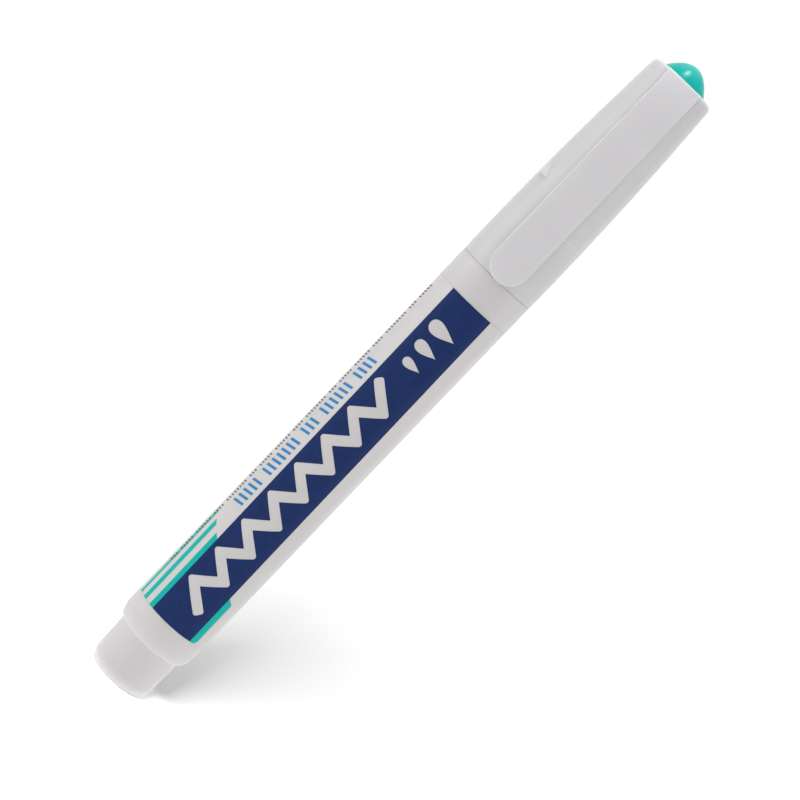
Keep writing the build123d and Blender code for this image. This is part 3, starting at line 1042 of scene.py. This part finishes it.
floor = started("studio_floor", bpy.ops.mesh.primitive_plane_add, size=floor_size)
paper, tree, shader, place = surfaced("white_paper")
rays = tree.nodes.new("ShaderNodeLightPath").outputs
seen = node(tree, "Math", {0: rays["Is Camera Ray"], 1: rays["Is Glossy Ray"]}, operation="MAXIMUM")
seen = node(tree, "Math", {0: seen.outputs[0], 1: rays["Is Transmission Ray"]}, operation="MAXIMUM")
away = node(tree, "VectorMath", {0: place}, operation="LENGTH")
share = node(tree, "MapRange", {"Value": away.outputs["Value"], "From Max": ramp_reach})
spread = node(tree, "ValToRGB", {"Fac": share.outputs["Result"]})
while len(spread.color_ramp.elements) < len(painted_glow_stops):
    spread.color_ramp.elements.new(1.0)
for stop, (position, strength) in zip(spread.color_ramp.elements, painted_glow_stops):
    stop.position = position
    stop.color = (strength, strength, strength, 1)
white = node(tree, "Math", {0: seen.outputs[0], 1: spread.outputs["Color"]}, operation="MULTIPLY")
glow = node(tree, "Emission", {"Color": (1, 1, 1, 1), "Strength": white.outputs[0]})
ground = node(tree, "ValToRGB", {"Fac": share.outputs["Result"]})
for stop, (position, code) in zip(ground.color_ramp.elements, ground_stops):
    stop.position = position
    stop.color = linear(code)
tree.links.new(ground.outputs["Color"], shader.inputs["Base Color"])
shader.inputs["Roughness"].default_value = 0.9
both = node(tree, "AddShader", {0: shader.outputs[0], 1: glow.outputs[0]})
tree.links.new(both.outputs[0], tree.nodes["Material Output"].inputs["Surface"])
floor.data.materials.append(paper)

# Studio light
# An even white tent, with soft boxes to the left and right of the pen, behind it and over its dome,
# which light the pen alone. One more lights the clip and the dome, and one lights the floor alone, for
# one plain shadow.
tent_light = 0.42
tent_white = 1.0              # as the camera and reflections see it


def soft_box(name, place, aim, width, height, power):
    """A rectangular lamp at a place, turned to face a point."""
    lamp = bpy.data.lights.new(name, "AREA")
    lamp.shape = "RECTANGLE"
    lamp.size = width * MM
    lamp.size_y = height * MM
    lamp.energy = power
    holder = bpy.data.objects.new(name, lamp)
    bpy.context.scene.collection.objects.link(holder)
    holder.location = Vector(place) * MM
    holder.rotation_euler = (Vector(aim) - Vector(place)).to_track_quat("-Z", "Y").to_euler()
    return holder


def lighting(name, lamps, pieces):
    """A collection of the pieces that lamps light."""
    lit = bpy.data.collections.new(name)
    for piece in pieces:
        lit.objects.link(piece)
    for lamp in lamps:
        lamp.light_linking.receiver_collection = lit
    return lit


pen_lamps = [
    soft_box("left_box", place=(-330, -60, 90), aim=(0, 0, 60), width=260, height=320, power=0.41),
    soft_box("right_box", place=(320, -60, 90), aim=(0, 0, 60), width=220, height=300, power=0.295),
    soft_box("rim_box", place=(230, 200, 100), aim=(0, 0, 75), width=160, height=300, power=0.075),
    soft_box("dome_box", place=(-22, 99, 373), aim=(0, 0, 138), width=242, height=242, power=0.22),
    soft_box("glint_lamp", place=(-48, 0, 384), aim=(0, 0, 138), width=53, height=53, power=0.31),
]
pen_only = lighting("pen_only", pen_lamps, [floor])
pen_only.collection_objects[0].light_linking.link_state = "EXCLUDE"
clip_box = soft_box(
    "clip_box", place=(-44, -158, 327), aim=(0, 0, 125), width=99, height=99, power=0.155,
)
lighting("clip_only", [clip_box], [clip_strip, end_dome])
shadow_lamp = soft_box(
    "shadow_lamp", place=(-80, -430, 280), aim=(0, 0, 0), width=90, height=90, power=4.5,
)
lighting("floor_only", [shadow_lamp], [floor])
sky = bpy.data.worlds.new("studio")
bpy.context.scene.world = sky
sky.use_nodes = True
tree = sky.node_tree
rays = tree.nodes.new("ShaderNodeLightPath").outputs
seen = node(tree, "Math", {0: rays["Is Camera Ray"], 1: rays["Is Glossy Ray"]}, operation="MAXIMUM")
seen = node(tree, "Math", {0: seen.outputs[0], 1: rays["Is Transmission Ray"]}, operation="MAXIMUM")
level = node(tree, "MapRange", {"Value": seen.outputs[0], "To Min": tent_light, "To Max": tent_white})
tree.nodes["Background"].inputs["Color"].default_value = (1, 1, 1, 1)
tree.links.new(level.outputs["Result"], tree.nodes["Background"].inputs["Strength"])
bpy.context.scene.view_settings.view_transform = "Standard"

# Camera
# Level with the cap and looking a little down at the pen, tilted so that the cap points up and right.
# The lens is long, and nearly half a metre away.
camera_target = Vector((2.36, 0, 66.94))
camera_distance = 463.5
camera_height = 6.0           # degrees above level
camera_turn = 1.75            # degrees round to the pen's left
camera_tilt = 43.78
eye = bpy.data.cameras.new("camera")
eye.lens = 126
eye.sensor_width = 36
eye.clip_start = 0.01
camera = bpy.data.objects.new("camera", eye)
bpy.context.scene.collection.objects.link(camera)
level_reach = camera_distance * math.cos(math.radians(camera_height))
offset = Vector((
    -level_reach * math.sin(math.radians(camera_turn)),
    -level_reach * math.cos(math.radians(camera_turn)),
    camera_distance * math.sin(math.radians(camera_height)),
))
camera.location = (camera_target + offset) * MM
aimed = (-offset).to_track_quat("-Z", "Y")
camera.rotation_euler = (aimed @ Quaternion((0, 0, 1), math.radians(camera_tilt))).to_euler()
bpy.context.scene.camera = camera
